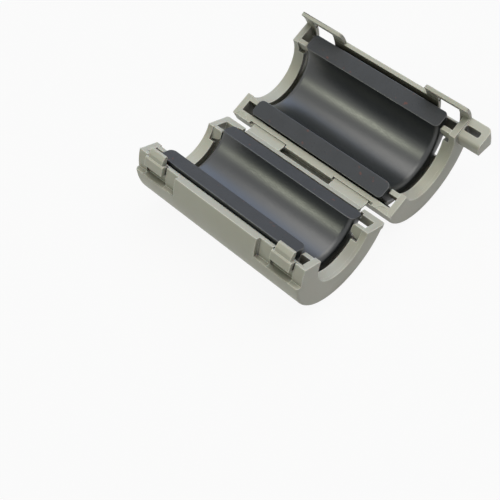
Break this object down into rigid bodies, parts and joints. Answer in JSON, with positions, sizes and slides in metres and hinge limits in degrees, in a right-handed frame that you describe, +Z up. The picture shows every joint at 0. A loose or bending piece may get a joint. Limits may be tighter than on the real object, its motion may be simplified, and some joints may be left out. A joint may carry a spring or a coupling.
{
  "type": "clip on ferrite bead",
  "caption": "Open clip-on ferrite bead: two grey plastic half shells on a film hinge, each holding half of a dark ferrite sleeve, with hooks, window loops and a cable-tie tab.",
  "frame": {"origin": "on the bore axis of the base core, halfway along it", "axes": "+X along the cable towards the end with the tie tab, +Y from the base across the hinge to the lid, +Z up from the surface the two round backs lie on"},
  "size_m": [0.0403, 0.0448, 0.0186],
  "materials": {
    "case_plastic": "satin moulded nylon, light warm grey",
    "ferrite": "ground and tumbled sintered ferrite, dark grey, half gloss in the bore"
  },
  "bodies": {
    "base": {"base_case": "case_plastic", "hinge_strap_left": "case_plastic", "hinge_strap_right": "case_plastic"},
    "base_core_body": {"base_core": "ferrite"},
    "lid": {"lid_case": "case_plastic"},
    "lid_core_body": {"lid_core": "ferrite"},
    "loop_left": {"latch_loop_left": "case_plastic"},
    "loop_right": {"latch_loop_right": "case_plastic"}
  },
  "joints": [
    {"name": "lid_hinge", "type": "hinge", "parent": "base", "child": "lid", "pos_m": [0, 0.01089, -0.00494], "axis": [1, 0, 0], "range_deg": [-43.5, 136.5], "stiffness_Nm_per_rad": 0.037, "deforming": ["hinge_strap_left", "hinge_strap_right", "latch_loop_left", "latch_loop_right"]},
    {"name": "base_core_float", "type": "slide", "parent": "base", "child": "base_core_body", "axis": [0, 0.3706, 0.9288], "range_m": [-0.00056, 0.0001785]},
    {"name": "lid_core_float", "type": "slide", "parent": "lid", "child": "lid_core_body", "axis": [0, -0.3706, 0.9288], "range_m": [-0.00056, 0.0001785]},
    {"name": "latch_loop_left_flex", "type": "hinge", "parent": "lid", "child": "loop_left", "pos_m": [-0.0135, 0.03249, 0.00363], "axis": [-1, 0, 0], "range_deg": [0, 20], "stiffness_Nm_per_rad": 0.08},
    {"name": "latch_loop_right_flex", "type": "hinge", "parent": "lid", "child": "loop_right", "pos_m": [0.0135, 0.03249, 0.00363], "axis": [-1, 0, 0], "range_deg": [0, 20], "stiffness_Nm_per_rad": 0.08}
  ],
  "couplings": [
    {"joint": "base_core_float", "follows": "lid_hinge", "m_per_rad": -0.00023505},
    {"joint": "lid_core_float", "follows": "lid_hinge", "m_per_rad": -0.00023505}
  ]
}
